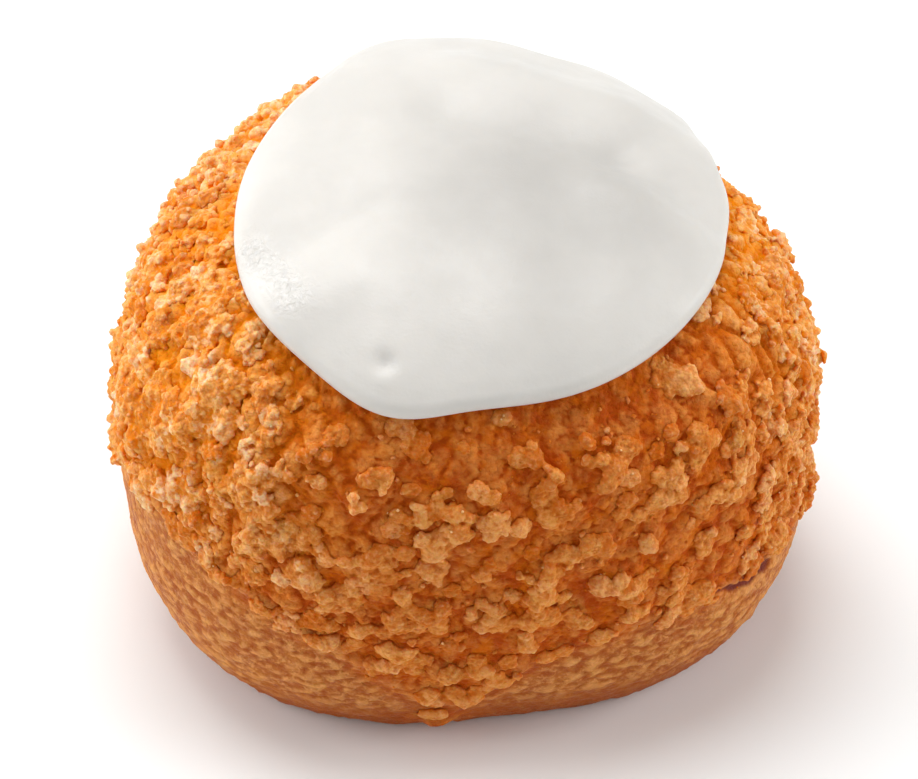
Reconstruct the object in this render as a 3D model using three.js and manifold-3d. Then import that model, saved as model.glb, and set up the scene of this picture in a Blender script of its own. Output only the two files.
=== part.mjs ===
// A choux bun, baked under a disc of sweet crumb dough and finished with a pool of white icing on its
// crown. The bun is one solid: smooth dough below, and above it the crumb crust, a thicker layer that
// cracked as the bun swelled and that stands out in crags. The icing is a second solid that lies on the
// crown. Millimetres and radians, +Z up. The origin is under the middle of the bun, on the surface it
// stands on, and the side that faces the viewer is towards -Y.
import * as THREE from "three";
import { mergeVertices } from "three/addons/utils/BufferGeometryUtils.js";
import Module from "manifold-3d";

const DEGREE = Math.PI / 180;

// The dough: a boxy round body whose outline from above is neither quite round nor even.
const WAIST_RADIUS = 31.6; // mean radius at the waist, under the crust
const WAIST_HEIGHT = 22.4;
const CROWN_RISE = 26.2; // from the waist to the top of the dough
const BELLY_DROP = 29.2; // full depth of the lower half, which the baking sheet cuts off flat
const BOXINESS = 3; // 2 would be an ellipse, more is boxier
const AXIS_X = -0.85; // where the body's own axis stands, so that the origin is under its middle
const AXIS_Y = -1.43;
const LEAN = -0.02; // how fast the waist climbs to the right
const OVAL_SHARE = 0.056; // two-sided swelling of the outline
const THREE_SIDED_SHARE = 0.058; // and three-sided
const THREE_SIDED_TURN = -19 * DEGREE;
const SOLE_HEIGHT = 0.8; // all that would hang lower than this lies flat in the sole

// The crust: its thickness, slow humps, and a lower edge that climbs at the left and hangs down in front.
const CRUST_THICKNESS = 0.45;
const CRUST_EDGE_SOFTNESS = 1.2;
const CRUST_EDGE_HEIGHT = 15.3;
const CRUST_EDGE_WAVES = [
  { at: -148 * DEGREE, by: 10.3, spread: 28 * DEGREE },
  { at: -92 * DEGREE, by: -8.5, spread: 17 * DEGREE },
  { at: 50 * DEGREE, by: -2.8, spread: 20 * DEGREE },
  { at: 108 * DEGREE, by: 2.5, spread: 22 * DEGREE },
];
const HUMP_DEPTH = 0.4;
const HUMP_LENGTH = 11;

// The icing: a pool with a fat rounded edge that ran furthest at the back and at the front left.
const ICING_X = 2.7; // its middle, from the body's axis
const ICING_Y = -0.8;
const ICING_RADIUS = 22;
const ICING_EDGE_WAVES = [
  { at: 56 * DEGREE, by: 4.5, spread: 19.4 * DEGREE },
  { at: 105.6 * DEGREE, by: 3.9, spread: 23.2 * DEGREE },
  { at: -142.6 * DEGREE, by: 2.9, spread: 29.4 * DEGREE },
  { at: -113 * DEGREE, by: 1.85, spread: 16 * DEGREE },
  { at: -77 * DEGREE, by: -0.4, spread: 31 * DEGREE },
  { at: -47 * DEGREE, by: 0.4, spread: 33 * DEGREE },
];
const ICING_THICKNESS = 2.65;
const ICING_GAP = 0.3; // between the two solids
const ICING_FOLDS = [
  { from: [-21.5, -12.5], to: [-9, -5], by: -0.55, spread: 2.8 },
  { from: [-17, -17], to: [-9.5, -13], by: 0.35, spread: 3 },
  { from: [0, 15.5], to: [22, 7], by: 0.5, spread: 2.8 },
  { from: [-1, 8.5], to: [15, 3], by: -0.45, spread: 2.4 },
  { from: [15, 3], to: [23.5, -3.6], by: -0.5, spread: 2.2 },
  { from: [12.6, -1.5], to: [20.5, -5.5], by: 0.4, spread: 2.2 },
];

const ICING_EDGE_START = 0.95; // share of the radius at which the edge begins to round
const ICING_EDGE_HEIGHT = 0.84; // of the edge, as a share of the thickness at the middle

// The crags: lumps of crumb dough that raise the crust. Some also carry a rough stone. Lengths and widths
// are half of a crag's own, and each range gives the smallest and the largest.
const CRAG_SEED = 20241;
const CRAG_SITES = 560; // spread over the whole ball, of which those on bare crust are used
const CRAG_LENGTHS = [1.7, 3.1];
const CRAG_WIDTH_SHARES = [0.55, 0.9];
const CRAG_RISES = [0.7, 1.5];
const CRAG_STRAY = 0.07; // how far, as an angle, a crag strays from its even place
const CRAG_CLEARANCE = 0.9; // kept from the icing
const EDGE_CRAGS = 40; // a broken row along the crust's lower edge
const EDGE_CRAG_LENGTHS = [2.1, 3.1];
const EDGE_CRAG_WIDTHS = [1.1, 1.6];
const EDGE_CRAG_RISES = [0.7, 1.1];
const EDGE_CRAG_HEIGHTS = [0.4, 1.6]; // above the crust's edge
const STONE_SHARE = 0.26; // of the scattered crags carry a stone
const STONE_LIFT = 0.35; // how far a stone's middle stands up its crag, as a share of the rise
const STONE_ROUGHNESS = [0.65, 1]; // how far its corners reach, as shares of its size
// Crags that stand out in the bun's outline: turn about the axis, angle from the crown, length and rise.
const LANDMARK_CRAGS = [
  [136, 50, 2.4, 1.1],
  [174, 53, 2.6, 1.4],
  [-169, 62, 2.3, 1.1],
  [-143, 68, 2.6, 1.3],
  [-118, 83, 2.8, 1.3],
  [-60, 88, 3.0, 1.4],
  [-94, 125, 2.0, 1.1],
  [1, 65, 2.3, 1.1],
  [-3, 74, 2.4, 1.1],
];

const BALL_DETAIL = 17; // of the body's triangles
const BALL_CROWDING = 0.15; // how much closer they lie round the crust than elsewhere

const COLOURS = {
  bun: { color: 0xc77a32, roughness: 0.75, metalness: 0 },
  icing: { color: 0xf3efe8, roughness: 0.35, metalness: 0 },
};

const wasm = await Module();
wasm.setup();

// A stream of even random numbers from 0 to 1 that is the same every time.
function randomStream(seed) {
  let state = seed;
  return () => {
    state = (state * 16807) % 2147483647;
    return state / 2147483647;
  };
}

const between = (random, [low, high]) => low + (high - low) * random();

function smoothStep(low, high, value) {
  const share = Math.min(1, Math.max(0, (value - low) / (high - low)));
  return share * share * (3 - 2 * share);
}

// The sum of bell-shaped waves round a closed edge.
function wavesAt(waves, azimuth) {
  let sum = 0;
  for (const wave of waves) {
    const turn = Math.atan2(Math.sin(azimuth - wave.at), Math.cos(azimuth - wave.at));
    sum += wave.by * Math.exp(-((turn / wave.spread) ** 2));
  }
  return sum;
}

const crustEdgeHeight = (azimuth) => CRUST_EDGE_HEIGHT + wavesAt(CRUST_EDGE_WAVES, azimuth);

// The distance of the icing's edge from its middle.
const icingRadius = (azimuth) => ICING_RADIUS + wavesAt(ICING_EDGE_WAVES, azimuth);

function waistRadius(azimuth) {
  const oval = OVAL_SHARE * Math.cos(2 * azimuth);
  return WAIST_RADIUS * (1 + oval + THREE_SIDED_SHARE * Math.cos(3 * (azimuth - THREE_SIDED_TURN)));
}

// A point of the dough's own surface, with no crust on it. polar is the angle from the crown.
function doughPoint(azimuth, polar) {
  const rise = Math.cos(polar) > 0 ? CROWN_RISE : BELLY_DROP;
  const sideways = Math.sin(polar) / waistRadius(azimuth);
  const upright = Math.abs(Math.cos(polar)) / rise;
  const distance = (sideways ** BOXINESS + upright ** BOXINESS) ** (-1 / BOXINESS);
  const x = distance * Math.sin(polar) * Math.cos(azimuth);
  const y = distance * Math.sin(polar) * Math.sin(azimuth);
  const z = WAIST_HEIGHT + LEAN * x + distance * Math.cos(polar);
  return new THREE.Vector3(x + AXIS_X, y + AXIS_Y, z);
}

function doughNormal(azimuth, polar) {
  const step = 0.02;
  const bounded = Math.min(Math.PI - 2 * step, Math.max(2 * step, polar));
  const around = doughPoint(azimuth + step, bounded).sub(doughPoint(azimuth - step, bounded));
  const down = doughPoint(azimuth, bounded + step).sub(doughPoint(azimuth, bounded - step));
  return down.cross(around).normalize();
}

// Slow humps and hollows, from -1 to 1.
function humps(point) {
  const wave = (2 * Math.PI) / HUMP_LENGTH;
  return (
    (Math.sin(wave * point.x + 1.1 * Math.sin(0.21 * point.z)) +
      Math.sin(wave * 0.83 * point.y + 0.9 * Math.sin(0.17 * point.x) + 2) +
      Math.sin(wave * 0.71 * point.z + 1.3 * Math.sin(0.19 * point.y) + 4)) /
    3
  );
}

// A point of the baked surface, crust and all but the crags, moved out along the dough's normal.
function bakedPoint(azimuth, polar, out = 0) {
  const point = doughPoint(azimuth, polar);
  const normal = doughNormal(azimuth, polar);
  const edge = crustEdgeHeight(azimuth);
  const crusted = smoothStep(edge - CRUST_EDGE_SOFTNESS, edge + CRUST_EDGE_SOFTNESS, point.z);
  return point.addScaledVector(normal, crusted * (CRUST_THICKNESS + HUMP_DEPTH * humps(point)) + out);
}

// How far outside the icing's edge a point is in plan.
function distanceFromIcing(point) {
  const x = point.x - AXIS_X - ICING_X;
  const y = point.y - AXIS_Y - ICING_Y;
  return Math.hypot(x, y) - icingRadius(Math.atan2(y, x));
}

// The angle from the crown at which the dough is this far from its axis in plan.
function polarAtRadius(azimuth, radius) {
  const share = Math.min(1, radius / waistRadius(azimuth));
  return Math.atan2(radius, CROWN_RISE * (1 - share ** BOXINESS) ** (1 / BOXINESS));
}

function onlyPositions(geometry) {
  geometry.deleteAttribute("normal");
  geometry.deleteAttribute("uv");
  return mergeVertices(geometry, 1e-4);
}

function solidFrom(geometry) {
  const merged = onlyPositions(geometry);
  return new wasm.Manifold(
    new wasm.Mesh({
      numProp: 3,
      vertProperties: new Float32Array(merged.attributes.position.array),
      triVerts: new Uint32Array(merged.index.array),
    }),
  );
}

function geometryFrom(solid) {
  const mesh = solid.getMesh();
  const geometry = new THREE.BufferGeometry();
  geometry.setAttribute("position", new THREE.BufferAttribute(mesh.vertProperties, mesh.numProp));
  geometry.setIndex(new THREE.BufferAttribute(mesh.triVerts, 1));
  geometry.computeVertexNormals();
  return geometry;
}

// Moves every vertex of a geometry to where a function sends it.
function warp(geometry, move) {
  const positions = geometry.attributes.position;
  const vertex = new THREE.Vector3();
  for (let index = 0; index < positions.count; index++) {
    vertex.fromBufferAttribute(positions, index);
    const moved = move(vertex);
    positions.setXYZ(index, moved.x, moved.y, moved.z);
  }
  return geometry;
}

// A crag's place on the baked surface and the directions it lies along. turn is measured from level.
function placeCrag(azimuth, polar, turn, sizes) {
  const normal = doughNormal(azimuth, polar);
  const along = new THREE.Vector3(-Math.sin(azimuth), Math.cos(azimuth), 0).applyAxisAngle(normal, turn);
  const across = new THREE.Vector3().crossVectors(normal, along);
  return { ...sizes, middle: bakedPoint(azimuth, polar), normal, along, across };
}

// A spiral of even places over the ball, each moved a little, of which the bare crust keeps its own.
function scatteredCrags(random) {
  const golden = Math.PI * (3 - Math.sqrt(5));
  const crags = [];
  for (let index = 0; index < CRAG_SITES; index++) {
    const azimuth = ((index * golden) % (2 * Math.PI)) + between(random, [-CRAG_STRAY, CRAG_STRAY]);
    const even = Math.acos(1 - (2 * (index + 0.5)) / CRAG_SITES);
    const polar = even + between(random, [-CRAG_STRAY, CRAG_STRAY]);
    const length = between(random, CRAG_LENGTHS);
    const width = length * between(random, CRAG_WIDTH_SHARES);
    const rise = between(random, CRAG_RISES);
    const crag = placeCrag(azimuth, polar, random() * Math.PI, { length, width, rise });
    crag.stony = random() < STONE_SHARE;
    const bare = distanceFromIcing(crag.middle) > length + CRAG_CLEARANCE;
    if (bare && crag.middle.z > crustEdgeHeight(azimuth) + width) crags.push(crag);
  }
  return crags;
}

function edgeCrags(random) {
  const crags = [];
  for (let index = 0; index < EDGE_CRAGS; index++) {
    const azimuth = (2 * Math.PI * (index + 0.5 * random())) / EDGE_CRAGS;
    const length = between(random, EDGE_CRAG_LENGTHS);
    const width = between(random, EDGE_CRAG_WIDTHS);
    const rise = between(random, EDGE_CRAG_RISES);
    const wanted = crustEdgeHeight(azimuth) + between(random, EDGE_CRAG_HEIGHTS);
    let polar = Math.PI / 4;
    while (bakedPoint(azimuth, polar).z > wanted) polar += 0.01;
    const crag = placeCrag(azimuth, polar, between(random, [-0.25, 0.25]), { length, width, rise });
    crag.stony = index % 2 === 0;
    crags.push(crag);
  }
  return crags;
}

function landmarkCrags() {
  return LANDMARK_CRAGS.map(([azimuth, polar, length, rise]) => ({
    ...placeCrag(azimuth * DEGREE, polar * DEGREE, 0.3, { length, width: 0.75 * length, rise }),
    stony: true,
  }));
}

// How far the crags raise the crust at a point.
function cragRise(crags, point) {
  const offset = new THREE.Vector3();
  let highest = 0;
  for (const crag of crags) {
    offset.subVectors(point, crag.middle);
    const along = offset.dot(crag.along) / crag.length;
    const across = offset.dot(crag.across) / crag.width;
    const beside = along * along + across * across;
    if (beside < 1 && offset.length() < 2 * crag.length) {
      highest = Math.max(highest, crag.rise * Math.sqrt(1 - beside));
    }
  }
  return highest;
}

// The body on a ball of triangles that lie closest round the crust, flat where it stood to bake.
function makeBody(crags) {
  const ball = new THREE.IcosahedronGeometry(1, BALL_DETAIL);
  return warp(ball, (vertex) => {
    const azimuth = Math.atan2(vertex.y, vertex.x);
    const even = Math.acos(Math.min(1, Math.max(-1, vertex.z)));
    const polar = even + BALL_CROWDING * Math.sin(2 * even);
    const level = bakedPoint(azimuth, polar);
    const point = level.clone().addScaledVector(doughNormal(azimuth, polar), cragRise(crags, level));
    if (point.z < SOLE_HEIGHT) point.z = 0;
    return point;
  });
}

// A rough flattened stone, sunk in its crag.
function makeStone(crag, random) {
  const stone = onlyPositions(new THREE.IcosahedronGeometry(1, 0));
  const middle = crag.middle.clone().addScaledVector(crag.normal, STONE_LIFT * crag.rise);
  return warp(stone, (vertex) => {
    const rough = between(random, STONE_ROUGHNESS);
    return middle
      .clone()
      .addScaledVector(crag.along, vertex.x * crag.length * rough)
      .addScaledVector(crag.across, vertex.y * crag.width * rough)
      .addScaledVector(crag.normal, vertex.z * crag.rise * rough);
  });
}

function makeBun() {
  const random = randomStream(CRAG_SEED);
  const crags = [...scatteredCrags(random), ...edgeCrags(random), ...landmarkCrags()];
  const stones = crags.filter((crag) => crag.stony).map((crag) => solidFrom(makeStone(crag, random)));
  return geometryFrom(wasm.Manifold.union([solidFrom(makeBody(crags)), ...stones]));
}

// The icing's cross-section as shares of its radius and thickness, from the middle of its underside, round
// the fat edge and back to the middle of its top.
function icingSection() {
  const rings = 10;
  const edgeSteps = 6;
  const points = [];
  for (let ring = 0; ring < rings; ring++) {
    points.push(new THREE.Vector2((ICING_EDGE_START * ring) / rings, 0));
  }
  for (let step = 0; step <= edgeSteps; step++) {
    const turn = Math.PI * (step / edgeSteps) - Math.PI / 2;
    const out = ICING_EDGE_START + (1 - ICING_EDGE_START) * Math.cos(turn);
    points.push(new THREE.Vector2(out, (ICING_EDGE_HEIGHT / 2) * (1 + Math.sin(turn))));
  }
  for (let ring = rings - 1; ring >= 0; ring--) {
    const share = ring / rings;
    const height = ICING_EDGE_HEIGHT + (1 - ICING_EDGE_HEIGHT) * Math.sqrt(1 - share ** 3);
    points.push(new THREE.Vector2(ICING_EDGE_START * share, height));
  }
  return points;
}

// The folds the icing set into, as a rise of its top.
function foldRise(x, y) {
  let rise = 0;
  for (const { from, to, by, spread } of ICING_FOLDS) {
    const [spanX, spanY] = [to[0] - from[0], to[1] - from[1]];
    const place = ((x - from[0]) * spanX + (y - from[1]) * spanY) / (spanX * spanX + spanY * spanY);
    const share = Math.min(1, Math.max(0, place));
    const away = Math.hypot(x - from[0] - share * spanX, y - from[1] - share * spanY);
    rise += by * Math.exp(-((away / spread) ** 2));
  }
  return rise;
}

function makeIcing() {
  const disc = new THREE.LatheGeometry(icingSection(), 60);
  warp(disc, (vertex) => {
    const turn = Math.atan2(-vertex.z, vertex.x);
    const radius = Math.hypot(vertex.x, vertex.z) * icingRadius(turn);
    const x = ICING_X + radius * Math.cos(turn);
    const y = ICING_Y + radius * Math.sin(turn);
    const azimuth = Math.atan2(y, x);
    const above = vertex.y * (ICING_THICKNESS + foldRise(x, y));
    return bakedPoint(azimuth, polarAtRadius(azimuth, Math.hypot(x, y)), ICING_GAP + above);
  });
  return onlyPositions(disc);
}

function namedMesh(name, geometry) {
  const mesh = new THREE.Mesh(geometry, new THREE.MeshStandardMaterial(COLOURS[name]));
  mesh.name = name;
  return mesh;
}

const group = new THREE.Group();
group.add(namedMesh("bun", makeBun()));
group.add(namedMesh("icing", makeIcing()));

export default group;
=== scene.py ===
"""A choux bun baked under crumb dough, with a pool of white icing on its crown.

The bun's and the icing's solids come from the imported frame, and the pieces made here take their places with the
same form: a fine body, the crumb that crags its crust, loose grains, and the icing. Everything is in metres and
radians, +Z up, with the side that faces the viewer towards -Y.
"""

import math
from collections import namedtuple

import bmesh
import bpy
import numpy
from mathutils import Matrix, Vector, noise
from mathutils.kdtree import KDTree


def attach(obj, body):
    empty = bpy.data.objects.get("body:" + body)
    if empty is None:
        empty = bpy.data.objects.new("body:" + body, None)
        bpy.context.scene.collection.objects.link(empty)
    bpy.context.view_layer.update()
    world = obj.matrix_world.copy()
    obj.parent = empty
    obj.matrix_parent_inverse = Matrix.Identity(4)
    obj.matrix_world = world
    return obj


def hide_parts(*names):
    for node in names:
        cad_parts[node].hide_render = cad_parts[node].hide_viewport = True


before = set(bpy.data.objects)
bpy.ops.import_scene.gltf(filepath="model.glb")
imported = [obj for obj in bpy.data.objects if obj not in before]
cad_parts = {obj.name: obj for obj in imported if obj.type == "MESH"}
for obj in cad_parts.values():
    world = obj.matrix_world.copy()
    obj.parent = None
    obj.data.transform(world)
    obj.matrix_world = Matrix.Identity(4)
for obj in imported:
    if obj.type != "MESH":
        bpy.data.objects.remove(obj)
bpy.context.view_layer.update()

bl_info = {
    "name": "Choux bun",
    "version": (1, 0, 0),
    "blender": (4, 5, 0),
    "location": "3D View > Sidebar > Choux bun",
    "description": "Makes an iced choux bun with a craggy crumb crust",
    "category": "Add Mesh",
}

MM = 0.001
DEGREE = math.pi / 180

# The dough, as in the solids: a boxy round body whose outline is neither quite round nor even.
WAIST_RADIUS = 31.6 * MM
WAIST_HEIGHT = 22.4 * MM
CROWN_RISE = 26.2 * MM
BELLY_DROP = 29.2 * MM
BOXINESS = 3
AXIS_X = -0.85 * MM
AXIS_Y = -1.43 * MM
LEAN = -0.02
OVAL_SHARE = 0.056
THREE_SIDED_SHARE = 0.058
THREE_SIDED_TURN = -19 * DEGREE
SOLE_ROUNDING = 0.8 * MM

# The crust's lower edge climbs at the left and hangs down at the front.
Wave = namedtuple("Wave", "at by spread")
CRUST_EDGE_SOFTNESS = 1.2 * MM
CRUST_EDGE_HEIGHT = 15.3 * MM
CRUST_EDGE_WAVES = (
    Wave(-148 * DEGREE, 10.3 * MM, 28 * DEGREE),
    Wave(-92 * DEGREE, -8.5 * MM, 17 * DEGREE),
    Wave(50 * DEGREE, -2.8 * MM, 20 * DEGREE),
    Wave(108 * DEGREE, 2.5 * MM, 22 * DEGREE),
)
HUMP_LENGTH = 11 * MM

# The icing: a pool with a fat rounded edge, and the folds it set into.
ICING_X = 2.7 * MM
ICING_Y = -0.8 * MM
ICING_RADIUS = 22 * MM
ICING_EDGE_WAVES = (
    Wave(56 * DEGREE, 4.5 * MM, 19.4 * DEGREE),
    Wave(105.6 * DEGREE, 3.9 * MM, 23.2 * DEGREE),
    Wave(-142.6 * DEGREE, 2.9 * MM, 29.4 * DEGREE),
    Wave(-113 * DEGREE, 1.85 * MM, 16 * DEGREE),
    Wave(-77 * DEGREE, -0.4 * MM, 31 * DEGREE),
    Wave(-47 * DEGREE, 0.4 * MM, 33 * DEGREE),
)
ICING_SINK = 0.2 * MM  # how deep its underside lies in the crust
ICING_TOP = 0.3 * MM  # what its solid's gap adds to its top
ICING_EDGE_START = 0.95
ICING_EDGE_HEIGHT = 0.84
Fold = namedtuple("Fold", "start end by spread")
ICING_FOLDS = (
    Fold((-21.5, -12.5), (-9, -5), -0.55, 2.8),
    Fold((-17, -17), (-9.5, -13), 0.35, 3),
    Fold((0, 15.5), (22, 7), 0.5, 2.8),
    Fold((-1, 8.5), (15, 3), -0.45, 2.4),
    Fold((15, 3), (23.5, -3.6), -0.5, 2.2),
    Fold((12.6, -1.5), (20.5, -5.5), 0.4, 2.2),
)

# The crags, at the places they have in the solids. Lengths and widths are half of a crag's own.
CRAG_SEED = 20241
CRAG_SITES = 560
CRAG_LENGTHS = (1.7 * MM, 3.1 * MM)
CRAG_WIDTH_SHARES = (0.55, 0.9)
CRAG_RISES = (0.7 * MM, 1.5 * MM)
CRAG_STRAY = 0.07
CRAG_CLEARANCE = 0.9 * MM
STONE_SHARE = 0.26
EDGE_CRAGS = 40
EDGE_CRAG_LENGTHS = (2.1 * MM, 3.1 * MM)
EDGE_CRAG_WIDTHS = (1.1 * MM, 1.6 * MM)
EDGE_CRAG_RISES = (0.7 * MM, 1.1 * MM)
EDGE_CRAG_HEIGHTS = (0.4 * MM, 1.6 * MM)
# Crags that stand out in the outline: turn about the axis and angle from the crown in degrees, length and rise.
LANDMARK_CRAGS = (
    (136, 50, 2.4, 1.1),
    (174, 53, 2.6, 1.4),
    (-169, 62, 2.3, 1.1),
    (-143, 68, 2.6, 1.3),
    (-118, 83, 2.8, 1.3),
    (-60, 88, 3.0, 1.4),
    (-94, 125, 2.0, 1.1),
    (1, 65, 2.3, 1.1),
    (-3, 74, 2.4, 1.1),
)
Crag = namedtuple("Crag", "azimuth middle normal along across length width rise")

# What the crust is like round the bun: where each kind of crust is strongest, and how far it spreads.
CHUNKY_SIDE = (128 * DEGREE, 52 * DEGREE)
RIDGED_SIDE = (-4 * DEGREE, 34 * DEGREE)
CRUMBLY_SIDE = (-158 * DEGREE, 40 * DEGREE)


# ---------------------------------------------------------------------------------------------------------------
# Settings
# ---------------------------------------------------------------------------------------------------------------


def length_setting(name, description, default):
    return bpy.props.FloatProperty(
        name=name, description=description, default=default, min=0, precision=5, unit="LENGTH", subtype="DISTANCE"
    )


def share_setting(name, description, default):
    return bpy.props.FloatProperty(
        name=name, description=description, default=default, min=0, max=1, subtype="FACTOR"
    )


def count_setting(name, description, default):
    return bpy.props.IntProperty(name=name, description=description, default=default, min=0)


def colour_setting(name, description, default):
    return bpy.props.FloatVectorProperty(
        name=name, description=description, default=(*default, 1), size=4, min=0, max=1, subtype="COLOR"
    )


def power_setting(name, description, default):
    return bpy.props.FloatProperty(name=name, description=description, default=default, min=0, unit="POWER")


class ChouxBunSizes(bpy.types.PropertyGroup):
    """The sizes that can be changed without changing the solids."""

    crust_thickness: length_setting("Crust", "How far the crust stands out over the dough", 0.45 * MM)
    hump_depth: length_setting("Humps", "Depth of the crust's slow humps", 0.4 * MM)
    crumb_detail: length_setting("Crumb detail", "Size of the smallest crumb shape", 0.17 * MM)
    small_crags: count_setting("Small crags", "Small crags between the big ones", 850)
    granules: count_setting("Granules", "Loose grains on the crust", 900)
    sugar_grains: count_setting("Sugar", "Sparkling sugar grains on the crust", 150)
    icing_thickness: length_setting("Icing", "Thickness of the icing at its middle", 2.65 * MM)
    pit_depth: length_setting("Pit", "Depth of the pit that a burst bubble left", 0.5 * MM)


class ChouxBunColours(bpy.types.PropertyGroup):
    """The colours of the dough, the crust and the icing."""

    # Deep crust is also painted shade: the crust's hollows and the crumb's crevices are darkened to it.
    deep: colour_setting("Deep crust", "Between the crags", (0.50, 0.07, 0.0))
    amber: colour_setting("Amber crust", "Thin, clear crust", (0.66, 0.135, 0.0))
    # Glowing crust is also a painted glow of light through the crust, put in the hollows of the golden crust and of
    # the crumb.
    glow: colour_setting("Glowing crust", "Between the crags where the crust baked golden", (0.88, 0.25, 0.0))
    # The pale mottles are partly paler crust and partly painted sheen.
    mottle_and_sheen: colour_setting("Mottled crust", "Pale patches of the bare crust", (0.64, 0.2, 0.035))
    tan: colour_setting("Tan crumb", "The tops of the crags", (0.95, 0.42, 0.095))
    # Pale crumb is also a painted highlight on the crumb's convex edges.
    pale: colour_setting("Pale crumb", "The driest crumbs", (0.99, 0.67, 0.39))
    dough: colour_setting("Dough", "The smooth dough under the crust", (0.55, 0.165, 0.03))
    # Dough crests is also a painted highlight on the crests of the dough's wrinkles.
    crest: colour_setting("Dough crests", "The palest flecks and wrinkles of the dough", (0.90, 0.43, 0.13))
    # Browned dough is also painted shade in the dough's creases.
    browned: colour_setting("Browned dough", "The dough's darkest patches", (0.42, 0.09, 0.014))
    scorch: colour_setting("Scorch", "The burnt crack in the dough", (0.2, 0.035, 0.02))
    icing: colour_setting("Icing", "The set icing", (0.72, 0.695, 0.655))


class ChouxBunStage(bpy.types.PropertyGroup):
    """The floor and the light."""

    floor: colour_setting("Floor", "The plain floor", (0.96, 0.985, 0.985))
    top_power: power_setting("Top light", "Soft light from above", 2.3)
    left_power: power_setting("Left light", "Soft light from the left", 1.7)
    back_power: power_setting("Back light", "Soft light from the back left", 1.1)
    right_power: power_setting("Right light", "Soft light from the right", 1.8)
    front_power: power_setting("Front light", "Soft light from the front", 0.35)
    sky: share_setting("Sky", "Even light from all round", 0.22)


# ---------------------------------------------------------------------------------------------------------------
# The bun's form
# ---------------------------------------------------------------------------------------------------------------


def random_stream(seed):
    """Even random numbers from 0 to 1, the same every time."""
    state = seed
    while True:
        state = state * 16807 % 2147483647
        yield state / 2147483647


def between(stream, ends):
    return ends[0] + (ends[1] - ends[0]) * next(stream)


def smooth_step(low, high, value):
    share = numpy.clip((value - low) / (high - low), 0, 1)
    return share * share * (3 - 2 * share)


def turn_from(azimuth, start):
    """The signed angle from start to azimuth, within half a turn."""
    return numpy.arctan2(numpy.sin(azimuth - start), numpy.cos(azimuth - start))


def bell(azimuth, side):
    """1 in the middle of a side of the bun, falling to 0 away from it."""
    return numpy.exp(-((turn_from(azimuth, side[0]) / side[1]) ** 2))


def waves_at(waves, azimuth):
    return sum(wave.by * bell(azimuth, (wave.at, wave.spread)) for wave in waves)


def crust_edge_height(azimuth):
    return CRUST_EDGE_HEIGHT + waves_at(CRUST_EDGE_WAVES, azimuth)


def icing_radius(azimuth):
    return ICING_RADIUS + waves_at(ICING_EDGE_WAVES, azimuth)


def waist_radius(azimuth):
    oval = OVAL_SHARE * numpy.cos(2 * azimuth)
    return WAIST_RADIUS * (1 + oval + THREE_SIDED_SHARE * numpy.cos(3 * (azimuth - THREE_SIDED_TURN)))


def dough_point(azimuth, polar):
    """Points of the dough's own surface, with no crust on it. polar is the angle from the crown."""
    rise = numpy.where(numpy.cos(polar) > 0, CROWN_RISE, BELLY_DROP)
    sideways = numpy.sin(polar) / waist_radius(azimuth)
    upright = numpy.abs(numpy.cos(polar)) / rise
    distance = (sideways**BOXINESS + upright**BOXINESS) ** (-1 / BOXINESS)
    x = distance * numpy.sin(polar) * numpy.cos(azimuth)
    y = distance * numpy.sin(polar) * numpy.sin(azimuth)
    z = WAIST_HEIGHT + LEAN * x + distance * numpy.cos(polar)
    return numpy.stack([x + AXIS_X, y + AXIS_Y, z], axis=-1)


def angles_of(points):
    """The azimuth and the angle from the crown at which points lie."""
    x = points[..., 0] - AXIS_X
    y = points[..., 1] - AXIS_Y
    z = points[..., 2] - WAIST_HEIGHT - LEAN * x
    return numpy.arctan2(y, x), numpy.arctan2(numpy.hypot(x, y), z)


def unit(vectors):
    return vectors / numpy.linalg.norm(vectors, axis=-1, keepdims=True)


def dough_normal(azimuth, polar):
    step = 0.02
    bounded = numpy.clip(polar, 2 * step, math.pi - 2 * step)
    around = dough_point(azimuth + step, bounded) - dough_point(azimuth - step, bounded)
    down = dough_point(azimuth, bounded + step) - dough_point(azimuth, bounded - step)
    return unit(numpy.cross(down, around))


def humps(points):
    """Slow humps and hollows, from -1 to 1."""
    x, y, z = (points[..., axis] / MM for axis in range(3))
    wave = 2 * math.pi / (HUMP_LENGTH / MM)
    first = numpy.sin(wave * x + 1.1 * numpy.sin(0.21 * z))
    second = numpy.sin(wave * 0.83 * y + 0.9 * numpy.sin(0.17 * x) + 2)
    third = numpy.sin(wave * 0.71 * z + 1.3 * numpy.sin(0.19 * y) + 4)
    return (first + second + third) / 3


def crusted_share(azimuth, points):
    """1 on the crust, 0 on the bare dough under it."""
    edge = crust_edge_height(azimuth)
    return smooth_step(edge - CRUST_EDGE_SOFTNESS, edge + CRUST_EDGE_SOFTNESS, points[..., 2])


def baked_point(azimuth, polar, sizes, out=0.0):
    """Points of the baked surface, crust and all but the crags, moved out along the dough's normal."""
    points = dough_point(azimuth, polar)
    height = sizes.crust_thickness + sizes.hump_depth * humps(points)
    outwards = crusted_share(azimuth, points) * height + out
    return points + numpy.expand_dims(outwards, -1) * dough_normal(azimuth, polar)


def distance_from_icing(points):
    """How far outside the icing's edge points are, seen from above."""
    x = points[..., 0] - AXIS_X - ICING_X
    y = points[..., 1] - AXIS_Y - ICING_Y
    return numpy.hypot(x, y) - icing_radius(numpy.arctan2(y, x))


def polar_at_radius(azimuth, radius):
    """The angle from the crown at which the dough is this far from its axis, seen from above."""
    share = numpy.minimum(1, radius / waist_radius(azimuth))
    return numpy.arctan2(radius, CROWN_RISE * (1 - share**BOXINESS) ** (1 / BOXINESS))


# ---------------------------------------------------------------------------------------------------------------
# The crags
# ---------------------------------------------------------------------------------------------------------------


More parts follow.
